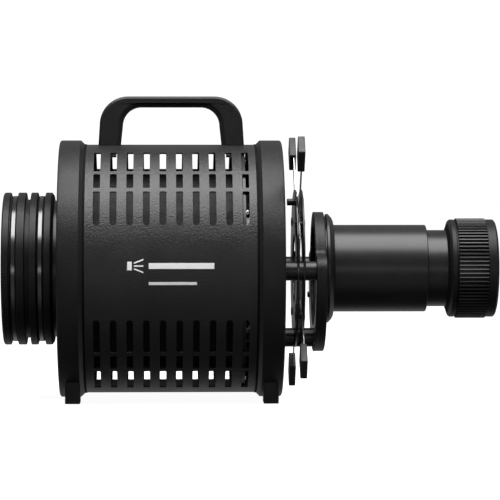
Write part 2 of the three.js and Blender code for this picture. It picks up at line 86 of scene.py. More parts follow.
# ---------------------------------------------------------------- materials
class Nodes:
    """A material's node tree, with short calls for the nodes that these materials share."""

    # A noise texture's values mostly lie between these.
    NOISE_LOW, NOISE_HIGH = 0.3, 0.7

    def __init__(self, name):
        self.material = bpy.data.materials.new(name)
        self.material.use_nodes = True
        self.tree = self.material.node_tree
        self.shader = self.tree.nodes["Principled BSDF"]
        self.place = self.tree.nodes.new("ShaderNodeTexCoord").outputs["Object"]

    def link(self, source, target):
        self.tree.links.new(source, target)

    def noise(self, scale, detail=3.0, stretch=(1, 1, 1)):
        """Noise over the piece; a direction with a large stretch varies faster."""
        mapping = self.tree.nodes.new("ShaderNodeMapping")
        mapping.inputs["Scale"].default_value = stretch
        self.link(self.place, mapping.inputs["Vector"])
        noise = self.tree.nodes.new("ShaderNodeTexNoise")
        noise.inputs["Scale"].default_value = scale
        noise.inputs["Detail"].default_value = detail
        self.link(mapping.outputs["Vector"], noise.inputs["Vector"])
        return noise.outputs["Fac"]

    def tint(self, value, dark, light):
        """Lets the colour vary with a noise value."""
        ramp = self.tree.nodes.new("ShaderNodeValToRGB")
        for stop, position, colour in zip(ramp.color_ramp.elements, (self.NOISE_LOW, self.NOISE_HIGH),
                                          (dark, light)):
            stop.position = position
            stop.color = (*colour, 1)
        self.link(value, ramp.inputs["Fac"])
        self.link(ramp.outputs["Color"], self.shader.inputs["Base Color"])

    def rough(self, value, low, high):
        """Lets the roughness vary with a noise value."""
        node = self.tree.nodes.new("ShaderNodeMapRange")
        node.inputs["From Min"].default_value = self.NOISE_LOW
        node.inputs["From Max"].default_value = self.NOISE_HIGH
        node.inputs["To Min"].default_value = low
        node.inputs["To Max"].default_value = high
        self.link(value, node.inputs["Value"])
        self.link(node.outputs["Result"], self.shader.inputs["Roughness"])

    def bump(self, value, strength, distance):
        node = self.tree.nodes.new("ShaderNodeBump")
        node.inputs["Strength"].default_value = strength
        node.inputs["Distance"].default_value = distance
        self.link(value, node.inputs["Height"])
        self.link(node.outputs["Normal"], self.shader.inputs["Normal"])

    def set(self, **inputs):
        for name, value in inputs.items():
            self.shader.inputs[name.replace("_", " ")].default_value = value


def grey(value):
    return (value, value, value)


def powder_coat(name, low, high, specular, grain):
    """Black satin powder coat with a fine grain."""
    n = Nodes(name)
    n.tint(n.noise(45), grey(0.007), grey(0.011))
    n.rough(n.noise(60), low, high)
    n.bump(n.noise(700, 4), 0.6, grain)
    n.set(Specular_IOR_Level=specular)
    return n.material


def anodised(name, low, high, specular):
    """Black anodised aluminium, turned, so that its finish runs round the axis."""
    n = Nodes(name)
    n.tint(n.noise(70), grey(0.005), grey(0.009))
    n.rough(n.noise(300, 3, (9, 1, 1)), low, high)
    n.bump(n.noise(260, 2, (14, 1, 1)), 0.08, 0.0002)
    n.set(Specular_IOR_Level=specular)
    return n.material


def collar_rubber():
    n = Nodes("collar_rubber")
    n.tint(n.noise(60), grey(0.005), grey(0.009))
    n.rough(n.noise(90), 0.36, 0.46)
    n.bump(n.noise(1100, 3), 0.15, 0.0003)
    n.set(Specular_IOR_Level=0.2)
    return n.material


def painted_shade_rubber():
    """A matt rubber, blacker than the collar's; its near-black colour is painted shade, laid where creases between
    parts should look dark.
    """
    n = Nodes("painted_shade_rubber")
    n.tint(n.noise(60), grey(0.002), grey(0.004))
    n.rough(n.noise(90), 0.7, 0.8)
    n.bump(n.noise(1100, 3), 0.1, 0.0002)
    n.set(Specular_IOR_Level=0.08)
    return n.material


def grip_plastic():
    n = Nodes("grip_plastic")
    n.tint(n.noise(80), grey(0.010), grey(0.016))
    n.rough(n.noise(140), 0.42, 0.52)
    n.bump(n.noise(2200, 2), 0.2, 0.0003)
    n.set(Specular_IOR_Level=0.4)
    return n.material


def metal(name, colour, low, high, stretch=(1, 1, 1), bump=0.03):
    """Bare metal; stretch turns its grain into fine lines."""
    n = Nodes(name)
    n.tint(n.noise(40, 3), grey(colour * 0.9), grey(colour))
    n.rough(n.noise(420, 3, stretch), low, high)
    n.bump(n.noise(600, 2, stretch), bump, 0.0002)
    n.set(Metallic=1.0)
    return n.material


def glass(name, roughness, tint):
    n = Nodes(name)
    n.tint(n.noise(30), tint, [min(1, c * 1.02) for c in tint])
    n.rough(n.noise(120), roughness, roughness + 0.02)
    n.set(Transmission_Weight=1.0, IOR=1.52)
    return n.material


def print_white():
    n = Nodes("print_white")
    n.tint(n.noise(200), grey(0.88), grey(0.94))
    n.rough(n.noise(300), 0.5, 0.6)
    n.bump(n.noise(2500, 2), 0.1, 0.0001)
    return n.material


PAINT = powder_coat("powder_coat", 0.37, 0.44, 0.44, 0.0006)
CAST_PAINT = powder_coat("powder_coat_cast", 0.40, 0.48, 0.25, 0.0003)
ANODISED = anodised("anodised", 0.29, 0.36, 0.42)
DULL_ANODISED = anodised("anodised_dull", 0.38, 0.46, 0.2)
GLOSS_ANODISED = anodised("anodised_gloss", 0.13, 0.19, 0.5)
RUBBER = collar_rubber()
# Near-black matt rubber: its colour is painted shade in the creases that it lines.
PAINTED_SHADE_RUBBER = painted_shade_rubber()
PLASTIC = grip_plastic()
STEEL = metal("polished_steel", 0.7, 0.14, 0.22)
DARK_STEEL = metal("blackened_steel", 0.11, 0.17, 0.23, (4, 1, 1))
BLADE_STEEL = metal("blade_steel", 0.7, 0.25, 0.35, (1, 1, 6), 0.05)
SATIN = metal("satin_aluminium", 0.45, 0.38, 0.48, (6, 1, 1), 0.05)
GUIDE_METAL = metal("guide_metal", 0.6, 0.16, 0.24, (1, 1, 4), 0.03)
LENS_GLASS = glass("lens_glass", 0.0, (0.93, 0.97, 0.98))
FROSTED = glass("frosted_glass", 0.45, (0.9, 0.92, 0.92))
WHITE = print_white()


# ---------------------------------------------------------------- making pieces
def to_row(x, y, z):
    """From millimetres on the optical axis to metres in the row frame."""
    return ORIGIN + Vector((x, y, z)) * MM


def soften(obj, width, angle=35):
    """Rounds the edges that are sharper than this angle, and shades smoothly between them."""
    obj.data.shade_smooth()
    bevel = obj.modifiers.new("edges", "BEVEL")
    bevel.width = width * MM
    bevel.segments = 2
    bevel.limit_method = "ANGLE"
    bevel.angle_limit = math.radians(angle)
    bevel.harden_normals = True
    bevel.use_clamp_overlap = True


def place(obj, material, node=None, body=None):
    """Gives a piece its material and body, and hides the CAD node that it stands for, if it does."""
    obj.data.materials.clear()
    obj.data.materials.append(material)
    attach(obj, body or NODE_BODY[node])
    if node:
        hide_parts(node)


def new_object(name, bm):
    bmesh.ops.remove_doubles(bm, verts=bm.verts, dist=WELD * MM)
    bmesh.ops.recalc_face_normals(bm, faces=bm.faces)
    mesh = bpy.data.meshes.new(name)
    bm.to_mesh(mesh)
    bm.free()
    obj = bpy.data.objects.new(name, mesh)
    bpy.context.scene.collection.objects.link(obj)
    return obj


def turned(name, outline, facets=FACETS, at=(0, 0), edge=0.25):
    """A piece turned about X through (y, z) = at, from its section's outline [(x, radius), ...].

    An outline that starts on the axis ends on it too, and any other closes on itself.
    """
    bm = bmesh.new()
    turns = [2 * math.pi * i / facets for i in range(facets)]
    rings = []
    for x, r in outline:
        angles = turns if r else [0]
        rings.append([bm.verts.new(to_row(x, at[0] + r * math.cos(a), at[1] + r * math.sin(a)))
                      for a in angles])
    following = rings[1:]
    if outline[0][1]:
        following = following + rings[:1]
    for one, two in zip(rings, following):
        for i in range(facets):
            corners = [one[i % len(one)], one[(i + 1) % len(one)],
                       two[(i + 1) % len(two)], two[i % len(two)]]
            corners = list(dict.fromkeys(corners))
            if len(corners) > 2:
                bm.faces.new(corners)
    obj = new_object(name, bm)
    if edge:
        soften(obj, edge)
    return obj


def ring_outline(x0, x1, r0, r1):
    """The section of a plain ring, for turned()."""
    return [(x0, r0), (x0, r1), (x1, r1), (x1, r0)]


def polar(r, angle, cy=0.0, cz=0.0):
    """The point at a radius and an angle in degrees from (cy, cz)."""
    return cy + r * math.cos(math.radians(angle)), cz + r * math.sin(math.radians(angle))


def arc(cy, cz, r, start, end, steps=24):
    """Points of an arc about (cy, cz), with its angles in degrees."""
    return [polar(r, start + (end - start) * i / steps, cy, cz) for i in range(steps + 1)]


def circle(r, cy=0.0, cz=0.0, steps=48):
    return arc(cy, cz, r, 0, 360, steps)[:-1]


def flat(name, loops, thick, edge, matrix, round_steps=2):
    """A flat piece with rounded edges: its outline and holes are drawn in its own plane."""
    curve = bpy.data.curves.new(name, "CURVE")
    curve.dimensions = "2D"
    curve.fill_mode = "BOTH"
    curve.extrude = thick / 2 - edge
    curve.bevel_depth = edge
    curve.bevel_resolution = round_steps
    curve.offset = -edge
    for loop in loops:
        spline = curve.splines.new("POLY")
        spline.points.add(len(loop) - 1)
        spline.use_cyclic_u = True
        for point, (u, v) in zip(spline.points, loop):
            point.co = (u, v, 0, 1)
    drawn = bpy.data.objects.new(name + "_drawn", curve)
    bpy.context.scene.collection.objects.link(drawn)
    graph = bpy.context.evaluated_depsgraph_get()
    mesh = bpy.data.meshes.new_from_object(drawn.evaluated_get(graph))
    bpy.data.objects.remove(drawn)
    bm = bmesh.new()
    bm.from_mesh(mesh)
    bpy.data.meshes.remove(mesh)
    bmesh.ops.remove_doubles(bm, verts=bm.verts, dist=WELD)
    bm.transform(Matrix.Translation(ORIGIN) @ Matrix.Scale(MM, 4) @ matrix)
    obj = new_object(name, bm)
    obj.data.shade_smooth()
    obj.data.set_sharp_from_angle(angle=math.radians(30))
    return obj


def frame_of(u, v, w, at):
    """The matrix that takes a sketch's u, v and thickness directions to these, at this point."""
    matrix = Matrix.Identity(4)
    for column, direction in enumerate((u, v, w)):
        matrix.col[column][:3] = direction
    matrix.translation = at
    return matrix


def across(x):
    """A sketch in Y and Z that stands across the optical axis at x."""
    return frame_of((0, 1, 0), (0, 0, 1), (1, 0, 0), (x, 0, 0))


# ---------------------------------------------------------------- housing
SHELL_R = radius("body_shell")
RING_R = radius("rear_ring")
SHELL_THICK = 1.2


def collar():
    """A rubber collar of four ribs, with a steel band in two of its grooves, each on a near-black bedding that
    paints the shade in the crevices beside the band.
    """
    rear, front = span("mount_collar")
    r, bore = radius("mount_collar"), 50
    bed, middle_groove = radius("collar_band_rear") - 1.2, r - 5.4
    ribs = [(rear, rear + 5.5), (rear + 11.3, rear + 17.3), (rear + 21.2, rear + 26.4), (front - 6.6, front)]
    outline = [(rear, bore), (rear, r - 1), (rear + 1, r)]
    for (_, rib_end), (next_rib, _), groove in zip(ribs, ribs[1:], (bed, middle_groove, bed)):
        outline += [(rib_end, r), (rib_end, groove), (next_rib, groove), (next_rib, r)]
    outline += [(front - 1.8, r), (front, r - 2.4), (front, bore)]
    place(turned("collar_moulded", outline, edge=0.4), RUBBER, "mount_collar")
    for node in ("collar_band_rear", "collar_band_front"):
        x0, x1 = span(node)
        band = turned(node + "_polished", ring_outline(x0, x1, bed + 0.1, radius(node)), edge=0.3)
        place(band, DARK_STEEL, node)
        # The bedding is wider than the band, and its near-black rubber is painted shade in the crevices at the
        # band's sides.
        shade_bedding = ring_outline(x0 - 1.0, x1 + 0.9, bed + 0.05, radius(node) - 0.3)
        place(turned(node + "_shade_bedding", shade_bedding, edge=0.1), PAINTED_SHADE_RUBBER, body="housing")
    x0, x1 = span("collar_flange")
    flange = turned("collar_flange_turned", ring_outline(x0 - 0.25, x1 + 0.25, 48.5, radius("collar_flange")))
    place(flange, ANODISED, "collar_flange")


def end_rings():
    """The two cast rings, each with its seal, whose near-black colour paints the shade in the crease against the
    shell, and the flat plate that closes it.
    """
    lip, seat, thick = SHELL_R + 0.1, 94.3, 4.5
    (rear, rear_inner), (front_inner, front) = span("rear_ring"), span("front_ring")
    for end, face, inner, shoulder, bore in (("rear", rear, rear_inner, 3.0, 53.5),
                                             ("front", front, front_inner, 2.8, 40)):
        inward = 1 if end == "rear" else -1
        outline = [(face, seat), (face, RING_R - 1.6), (face + inward * 0.5, RING_R - 0.5),
                   (face + inward * 1.6, RING_R), (inner - inward * shoulder, RING_R), (inner, lip + 0.3),
                   (inner, lip), (face + inward * thick, lip), (face + inward * thick, seat)]
        place(turned(end + "_ring_turned", outline), CAST_PAINT, end + "_ring")
        # The seal's near-black rubber is painted shade in the crease between the ring and the shell.
        shade_seal = ring_outline(inner, inner + inward * 1.6, SHELL_R - 0.3, SHELL_R + 0.35)
        place(turned("ring_shade_seal_" + end, shade_seal, edge=0.15), PAINTED_SHADE_RUBBER, body="housing")
        disc = ring_outline(face + inward * 0.2, face + inward * thick, bore, seat - 0.15)
        place(turned(end + "_plate_turned", disc), PAINT, end + "_plate")
    plate_screws()


def plate_screws():
    """Countersunk screws that hold the two end plates, six to each."""
    sink, count, circle_r = 0.2, 6, 86
    rear, front = span("rear_plate")[0] + sink, span("front_plate")[1] - sink
    head = [(-1.0, 0), (-1.0, 0.9), (0.35, 0.9), (0.45, 2.4), (0.3, 3.1), (-1.5, 2.2), (-1.5, 0)]
    for i in range(count):
        at = polar(circle_r, 30 + 360 * i / count)
        for end, face, outward in (("rear", rear, -1), ("front", front, 1)):
            outline = [(face + outward * x, r) for x, r in head]
            screw = turned(f"plate_screw_{end}_{i}", outline, 30, at, edge=0)
            place(screw, ANODISED, body="housing")


SLOT_FIRST, SLOT_PITCH, SLOT_WIDTH, SLOT_COLUMNS = 29.7, 12.5, 5.0, 10
# The three windows of a column: from, to (degrees above horizontal), and whether the first end is round.
WINDOWS = [(21.6, 39.0, True), (41.2, 49.8, False), (52.0, 69.2, False)]


def window_rows():
    """Angles of the shell's mesh rows in one quadrant, each with the slots' half width there."""
    half, small_corner, plain_rows = SLOT_WIDTH / 2, 0.7, 9
    rows = []
    for low, high, round_end in WINDOWS:
        for end, inward in ((low, 1), (high, -1)):
            is_round = round_end and end == low
            corner = half if is_round else small_corner
            steps = 7 if is_round else 3
            for i in range(steps + 1):
                turn = math.pi / 2 * i / steps
                depth = corner * (1 - math.cos(turn))
                rows.append((end + inward * math.degrees(depth / SHELL_R),
                             half - corner + corner * math.sin(turn)))
        count = int((high - low) / 2)
        rows += [(low + (high - low) * i / count, half) for i in range(1, count)]
    first, last = WINDOWS[0][0], WINDOWS[-1][1]
    rows += [(first * i / plain_rows, half) for i in range(plain_rows)]
    rows += [(last + (90 - last) * i / plain_rows, half) for i in range(1, plain_rows + 1)]
    kept = []
    for angle, width in sorted(rows):
        if not kept or angle - kept[-1][0] > 0.02:
            kept.append((angle, width))
    return kept


def in_window(angle):
    return any(low < angle < high for low, high, _ in WINDOWS)


def shell():
    """A rolled sheet with windows: the quadrant's rows are mirrored round the whole turn."""
    x0, x1 = span("body_shell")
    quadrant = window_rows()
    rows = list(quadrant)
    rows += [(180 - a, w) for a, w in reversed(quadrant[:-1])]
    rows += [(180 + a, w) for a, w in quadrant[1:]]
    rows += [(360 - a, w) for a, w in reversed(quadrant[1:-1])]
    columns = [SLOT_FIRST + i * SLOT_PITCH for i in range(SLOT_COLUMNS)]
    bm = bmesh.new()
    grid = []
    for angle, half in rows:
        y, z = polar(SHELL_R, angle)
        xs = [x0] + [x + side * half for x in columns for side in (-1, 1)] + [x1]
        grid.append([bm.verts.new(to_row(x, y, z)) for x in xs])
    for i, one in enumerate(grid):
        j = (i + 1) % len(grid)
        middle = (rows[i][0] + (rows[j][0] or 360)) / 2
        above_horizontal = abs((middle + 90) % 180 - 90)
        for column in range(len(one) - 1):
            if column % 2 == 1 and in_window(above_horizontal):
                continue
            bm.faces.new([one[column], one[column + 1], grid[j][column + 1], grid[j][column]])
    obj = new_object("body_shell_sheet", bm)
    thick = obj.modifiers.new("thickness", "SOLIDIFY")
    thick.thickness = SHELL_THICK * MM
    thick.offset = -1
    thick.use_even_offset = True
    soften(obj, 0.18, 50)
    place(obj, PAINT, "body_shell")


def handle():
    """A flat bar bent into two legs, chamfered all round, its feet seated on the shell."""
    low, high = local_box("handle")
    middle, half = (low.x + high.x) / 2, (high.x - low.x) / 2
    leg, bar, chamfer = 17.2, 8.3, 1.7
    gap_half, gap_top = half - leg, high.z - bar

    def side(half, top, lean, bend):
        """One side of the outline, from its foot up and round to the top."""
        return [(-half, low.z - chamfer)] + arc(bend + lean - half, top - bend, bend, 180, 90, 16)

    outer = side(half, high.z, 1, 22)
    inner = side(gap_half, gap_top, 1.6, 14.5)
    over = outer + [(-u, v) for u, v in reversed(outer)]
    under = inner + [(-u, v) for u, v in reversed(inner)]
    plane = frame_of((1, 0, 0), (0, 0, 1), (0, -1, 0), (middle, 0, 0))
    piece = flat("handle_cast", [over + under[::-1]], high.y - low.y, chamfer, plane, 0)
    finish_handle(piece, middle, gap_half, gap_top, chamfer)
    soften(piece, 0.4, 30)
    place(piece, CAST_PAINT, "handle")


def finish_handle(piece, middle, gap_half, gap_top, chamfer):
    """Widens the chamfer round the finger gap on both faces, and seats the feet on the shell."""
    low, high = local_box("handle")
    wider, slack = 1.5, 0.1
    centre_x, lip_half, lip_top = ORIGIN.x + middle * MM, gap_half + chamfer + 1.7, gap_top + chamfer
    for vertex in piece.data.vertices:
        x, y, z = (vertex.co.x - centre_x) / MM, vertex.co.y / MM, (vertex.co.z - ORIGIN.z) / MM
        if abs(y) > high.y - slack and abs(x) < lip_half and z < lip_top + slack:
            vertex.co.x = centre_x + x * MM * (1 + wider / gap_half)
            z += wider * min(1, (z - low.z) / (gap_top - low.z))
        surface = math.sqrt(SHELL_R ** 2 - y * y) - 0.05
        vertex.co.z = ORIGIN.z + max(z, surface) * MM


def feet():
    """Four square rubber feet, whose tops follow the end rings."""
    steps = 8
    for end in ("rear", "front"):
        for where, sign in (("near", -1), ("far", 1)):
            node = f"foot_{end}_{where}"
            low, high = local_box(node)
            inner, outer = sorted((abs(low.y), abs(high.y)))
            top = [outer - (outer - inner) * i / steps for i in range(steps + 1)]
            outline = [(inner, low.z), (outer, low.z)]
            outline += [(y, -math.sqrt((RING_R + 0.05) ** 2 - y * y)) for y in top]
            outline = [(sign * y, z) for y, z in outline]
            if sign < 0:
                outline.reverse()
            piece = flat(node + "_block", [outline], high.x - low.x, 0.5, across((low.x + high.x) / 2))
            place(piece, RUBBER, node)


# ---------------------------------------------------------------- inside the housing
CELL_BORE, CELL_R = 55, 57.5
CONDENSER_BULGE, PROJECTION_BULGE = 14, 9


def inner_parts():
    """Light tunnel, condenser and diffuser, which show through the windows and the collar."""
    x0, x1 = span("light_tunnel")
    r = radius("light_tunnel")
    place(turned("light_tunnel_rolled", ring_outline(x0, x1, r - 1.2, r)), CAST_PAINT, "light_tunnel")
    x0, x1 = span("condenser_cell")
    cell = ring_outline(x0, x1, CELL_BORE, CELL_R)
    place(turned("condenser_cell_turned", cell), SATIN, "condenser_cell")
    x0, x1 = span("condenser_web")
    web = ring_outline(x0, x1, CELL_R + 0.1, radius("condenser_web"))
    place(turned("condenser_web_turned", web), ANODISED, "condenser_web")
    web_fixings(x1, span("front_plate")[0])
    lens("condenser_lens_rear", CONDENSER_BULGE)
    lens("condenser_lens_front", -CONDENSER_BULGE)
    x0, x1 = span("condenser_spacer")
    r = radius("condenser_spacer")
    place(turned("condenser_spacer_turned", ring_outline(x0, x1, r - 2, r)), ANODISED, "condenser_spacer")
    x0, x1 = span("diffuser_glass")
    r = radius("diffuser_glass")
    place(turned("diffuser_disc", [(x0, 0), (x0, r), (x1, r), (x1, 0)]), FROSTED, "diffuser_glass")
    for node in ("handle_screw_rear", "handle_screw_front"):
        frame["nodes"][node].data.materials.clear()
        frame["nodes"][node].data.materials.append(STEEL)


def web_fixings(face, plate):
    """Steel rods that hold the condenser's web on the front plate, with nuts, and its rim screws."""
    rod_r, nut_r, rod_circle, screw_circle = 2.2, 3.4, 74, 88
    rod = [(face, 0), (face, rod_r), (plate, rod_r), (plate, 0)]
    nut = [(face + 0.1, 0), (face + 0.1, nut_r), (face + 2.6, nut_r), (face + 2.6, 0)]
    for i, angle in enumerate((36, 144, 216, 324)):
        at = polar(rod_circle, angle)
        place(turned(f"web_rod_{i}", rod, 32, at, 0.1), STEEL, body="housing")
        place(turned(f"web_nut_{i}", nut, 6, at, 0.25), STEEL, body="housing")
    screw = [(face - 1, 0), (face - 1, 1.2), (face + 0.05, 1.2), (face + 0.05, 2.3), (face + 1.2, 2.3),
             (face + 1.8, 1.5), (face + 1.9, 0)]
    for i, angle in enumerate((72, 108, 252, 288)):
        at = polar(screw_circle, angle)
        place(turned(f"web_screw_{i}", screw, 28, at, edge=0), STEEL, body="housing")


def lens(node, bulge):
    """A plano-convex lens whose curved side bulges towards the side that bulge's sign gives."""
    x0, x1 = span(node)
    r = radius(node)
    rim, steps = 2, 16
    sign = 1 if bulge > 0 else -1
    base = x0 if bulge > 0 else x1
    edge = base + rim * sign
    curve = [(edge + (bulge - rim * sign) * (1 - (k / steps) ** 2), r * k / steps)
             for k in range(steps, -1, -1)]
    place(turned(node + "_ground", [(base, 0), (base, r)] + curve, edge=0), LENS_GLASS, node)


# ---------------------------------------------------------------- gate and shutters
TIE_HOLE_R, PIN_HOLE_R, PIN_R = 2.7, 1.7, 1.5


def gate_faces():
    """The rear disc's two faces and the front disc's; the rear disc's CAD node includes its bosses."""
    rear, (f0, f1) = span("gate_rear_plate")[0], span("gate_front_plate")
    return rear, rear + f1 - f0, f0, f1


def gate():
    """Two discs held apart by bosses, which the four blades run between, and their clamping knob."""
    r0, r1, f0, f1 = gate_faces()
    r = radius("gate_front_plate")
    ties = [centre("tie_bolt_" + tie) for tie in TIES]
    studs = [centre("stud_" + side) for side in SIDES]
    lock = centre("gate_lock_knob")
    aperture = circle(27)
    holes = [circle(TIE_HOLE_R, p.y, p.z, 20) for p in ties]
    holes += [circle(PIN_HOLE_R, p.y, p.z, 16) for p in studs]
    holes += [aperture, circle(PIN_HOLE_R, lock.y, lock.z, 16)]
    disc = circle(r, steps=120)
    for end, x0, x1, material in (("rear", r0, r1, GLOSS_ANODISED), ("front", f0, f1, ANODISED)):
        piece = flat(f"gate_{end}_disc", [disc] + holes, x1 - x0, 0.15, across((x0 + x1) / 2))
        place(piece, material, f"gate_{end}_plate")
    for tie, point in zip(TIES, ties):
        boss = turned("gate_boss_" + tie, ring_outline(r1, f0, 2.6, 7.35), 48, (point.y, point.z))
        place(boss, ANODISED, body="housing")
    rim = arc(0, 0, r - 0.3, -11, 11) + arc(0, 0, r - 4.5, 11, -11)
    spacer = flat("gate_spacer_far", [rim], f0 - r1, 0.1, across((r1 + f0) / 2))
    place(spacer, ANODISED, body="housing")
    x0, x1 = span("gate_lock_knob")
    behind, ahead, knob_r, nut_r = r0 - 0.1, f1 + 0.1, 2.7, 3
    knob = [(x0, 0), (x0, knob_r - 0.4), (x0 + 0.4, knob_r), (behind, knob_r), (behind, PIN_R),
            (ahead, PIN_R), (ahead, nut_r), (x1, nut_r), (x1, 0)]
    place(turned("gate_lock_knob_turned", knob, 40, (lock.y, lock.z), 0.15), ANODISED, "gate_lock_knob")


def ties():
    """Three bolts from the front ring through the gate to the lens plate, each with two spacers."""
    shank, head = 2.4, 4.2
    for tie in TIES:
        point = centre("tie_bolt_" + tie)
        at = (point.y, point.z)
        for part in ("rear_spacer_", "front_spacer_"):
            x0, x1 = span(part + tie)
            bar = ring_outline(x0 - 0.25, x1 + 0.25, 2.8, radius(part + tie))
            place(turned(part + tie + "_turned", bar, 64, at, 0.35), ANODISED, part + tie)
        x0, x1 = span("tie_bolt_" + tie)
        bolt = [(x0, 0), (x0, shank), (x1 - 3.1, shank), (x1 - 3.1, head), (x1 - 0.4, head),
                (x1, head - 0.4), (x1, 2.4), (x1 - 2.0, 2.2), (x1 - 2.0, 0)]
        place(turned("tie_bolt_" + tie + "_socket", bolt, 36, at, 0.12), ANODISED, "tie_bolt_" + tie)


def shutters():
    """Four steel blades, each with a plastic grip and the stud that its slot slides on."""
    for side in SIDES:
        slide = JOINTS[f"shutter_{side}_slide"]
        outward = -Vector(slide["axis"])
        pushed = -slide["range_m"][0] / MM
        stud_at = centre("stud_" + side)
        sideways = outward.cross(Vector((1, 0, 0)))
        at = Vector((centre("blade_" + side).x, stud_at.y, stud_at.z)) - outward * pushed
        plane = frame_of(sideways, outward, Vector((1, 0, 0)), at)
        sheet = flat("blade_" + side + "_sheet", [blade_outline(), slot_outline()], 0.4, 0.06, plane)
        place(sheet, BLADE_STEEL, "blade_" + side)
        low, high = local_box("grip_" + side)
        plane.translation.x = (low.x + high.x) / 2
        grip = flat("grip_" + side + "_moulded", [grip_outline()], high.x - low.x, 0.6, plane)
        place(grip, PLASTIC, "grip_" + side)
        stud(side, (stud_at.y, stud_at.z))


def blade_outline():
    """From the blade's inner edge outward: its broad part, its neck and the tang in the grip."""
    half, inner, shoulder, neck, neck_half, tang = 26.5, -23, 10, 18, 7, 83
    right = [(half - 3, inner)] + arc(half - 3, inner + 3, 3, -90, 0, 6)
    right += arc(half - 4, shoulder - 4, 4, 0, 70, 6)
    right += arc(neck_half + 6, neck + 1, 6, 250, 180, 8) + [(neck_half, tang)]
    return right + [(-u, v) for u, v in reversed(right)]


def slot_outline():
    half, travel = 2.5, 30
    return arc(0, travel, half, 0, 180, 10) + arc(0, 0, half, 180, 360, 10)


def grip_outline():
    inner, outer, half, corner = 66.3, 87.5, 8.8, 1.2
    return (arc(half - corner, inner + corner, corner, -90, 0, 6)
            + arc(half - corner, outer - corner, corner, 0, 90, 6)
            + arc(corner - half, outer - corner, corner, 90, 180, 6)
            + arc(corner - half, inner + corner, corner, 180, 270, 6))


def stud(side, at):
    """A stud that clamps one blade's slot, with a low head outside each of the gate's discs."""
    x0, x1 = span("stud_" + side)
    r0, r1, f0, f1 = gate_faces()
    barrel_r, head_r, chamfer, gap = 2.2, 3.4, 0.3, 0.1
    outline = [(x0, 0), (x0, head_r - chamfer), (x0 + chamfer, head_r), (r0 - gap, head_r),
               (r0 - gap, PIN_R), (r1 + gap, PIN_R), (r1 + gap, barrel_r), (f0 - gap, barrel_r),
               (f0 - gap, PIN_R), (f1 + gap, PIN_R), (f1 + gap, head_r), (x1 - chamfer, head_r),
               (x1, head_r - chamfer), (x1, 0)]
    place(turned("stud_" + side + "_turned", outline, 36, at, 0.08), ANODISED, "stud_" + side)


# ---------------------------------------------------------------- lens plate and lens
UPPER_R, EAR_TOP, FILLET = 44.0, 12.2, 6.0
POCKET = 1.7  # depth that the guide sits in


def shield_outline(lower_r, ear_y):
    """The lens plate: a disc above and a larger half disc below, joined by concave corners."""
    ear_r, corner_z = lower_r - ear_y, EAR_TOP + FILLET
    reach = math.sqrt((UPPER_R + FILLET) ** 2 - corner_z ** 2)
    meet = math.degrees(math.atan2(corner_z, reach))
    points = arc(0, 0, UPPER_R, meet, 180 - meet, 60)
    points += arc(-reach, corner_z, FILLET, -meet, -90, 10)
    points += arc(-ear_y, 0, ear_r, 101, 180, 12)
    points += arc(0, 0, lower_r, 180, 360, 80)
    points += arc(ear_y, 0, ear_r, 0, 79, 12)
    points += arc(reach, corner_z, FILLET, -90, -180 + meet, 10)
    return points


def guide_outline(margin=0.0):
    """The U-shaped guide; margin widens it, for the pocket that it sits in."""
    low, high = local_box("accessory_guide")
    outer, inner, top = high.y + margin, 45 - margin, high.z + margin
    side = math.degrees(math.asin(top / inner))
    reach = inner * math.cos(math.radians(side))
    return ([(-outer, top)] + arc(0, 0, outer, 180, 360, 72) + [(outer, top), (reach, top)]
            + arc(0, 0, inner, side, -180 - side, 72)[1:-1] + [(-reach, top)])


def lens_plate():
    """The plate is two layers, so that the rear one leaves a pocket for the guide."""
    low, high = local_box("lens_plate")
    shield = shield_outline(-low.z, centre("tie_bolt_far").y)
    bore = circle(radius("lens_barrel") + 0.1, steps=100)
    ties = [centre("tie_bolt_" + tie) for tie in TIES]
    sinks = [circle(4.4, p.y, p.z, 28) for p in ties]
    plate = flat("lens_plate_milled", [shield, bore] + sinks, high.x - low.x - POCKET, 0.9,
                 across((low.x + high.x + POCKET) / 2))
    place(plate, CAST_PAINT, "lens_plate")
    rim = flat("lens_plate_rim", [shield, guide_outline(0.15), bore], POCKET + 1.0, 0.25,
               across(low.x + POCKET / 2 + 0.5))
    place(rim, CAST_PAINT, body="housing")
    accessory_guide([circle(TIE_HOLE_R, p.y, p.z, 20) for p in ties])


def accessory_guide(holes):
    """The bright U-shaped guide for a pattern holder, with its clamping knob."""
    low, high = local_box("accessory_guide")
    knob = centre("guide_knob")
    loops = [guide_outline()] + holes + [circle(PIN_HOLE_R, knob.y, knob.z, 16)]
    sheet = flat("accessory_guide_sheet", loops, high.x - low.x, 0.15, across((low.x + high.x) / 2))
    place(sheet, GUIDE_METAL, "accessory_guide")
    x0, x1 = span("guide_knob")
    behind, knob_r, chamfer = low.x - 0.1, 2.4, 0.4
    outline = [(x0, 0), (x0, knob_r - chamfer), (x0 + chamfer, knob_r), (behind, knob_r),
               (behind, PIN_R), (x1, PIN_R), (x1, 0)]
    place(turned("guide_knob_turned", outline, 36, (knob.y, knob.z), 0.12), ANODISED, "guide_knob")


def lens_flange():
    """A stepped flange that narrows forward from the lens plate onto the barrel."""
    x0, x1 = span("lens_flange")
    r, bore = radius("lens_flange"), radius("lens_barrel") + 0.1
    groove_r, groove_end = r - 5, x0 + 1.3
    outline = [(x0 - 0.2, bore), (x0 - 0.2, groove_r), (groove_end, groove_r), (groove_end, r),
               (x0 + 3.2, r), (x0 + 4.3, r - 1.2), (x0 + 5.7, r - 2.7), (x0 + 6.8, r - 4.9),
               (x1 - 0.2, r - 7.2), (x1, bore)]
    place(turned("lens_flange_turned", outline), ANODISED, "lens_flange")


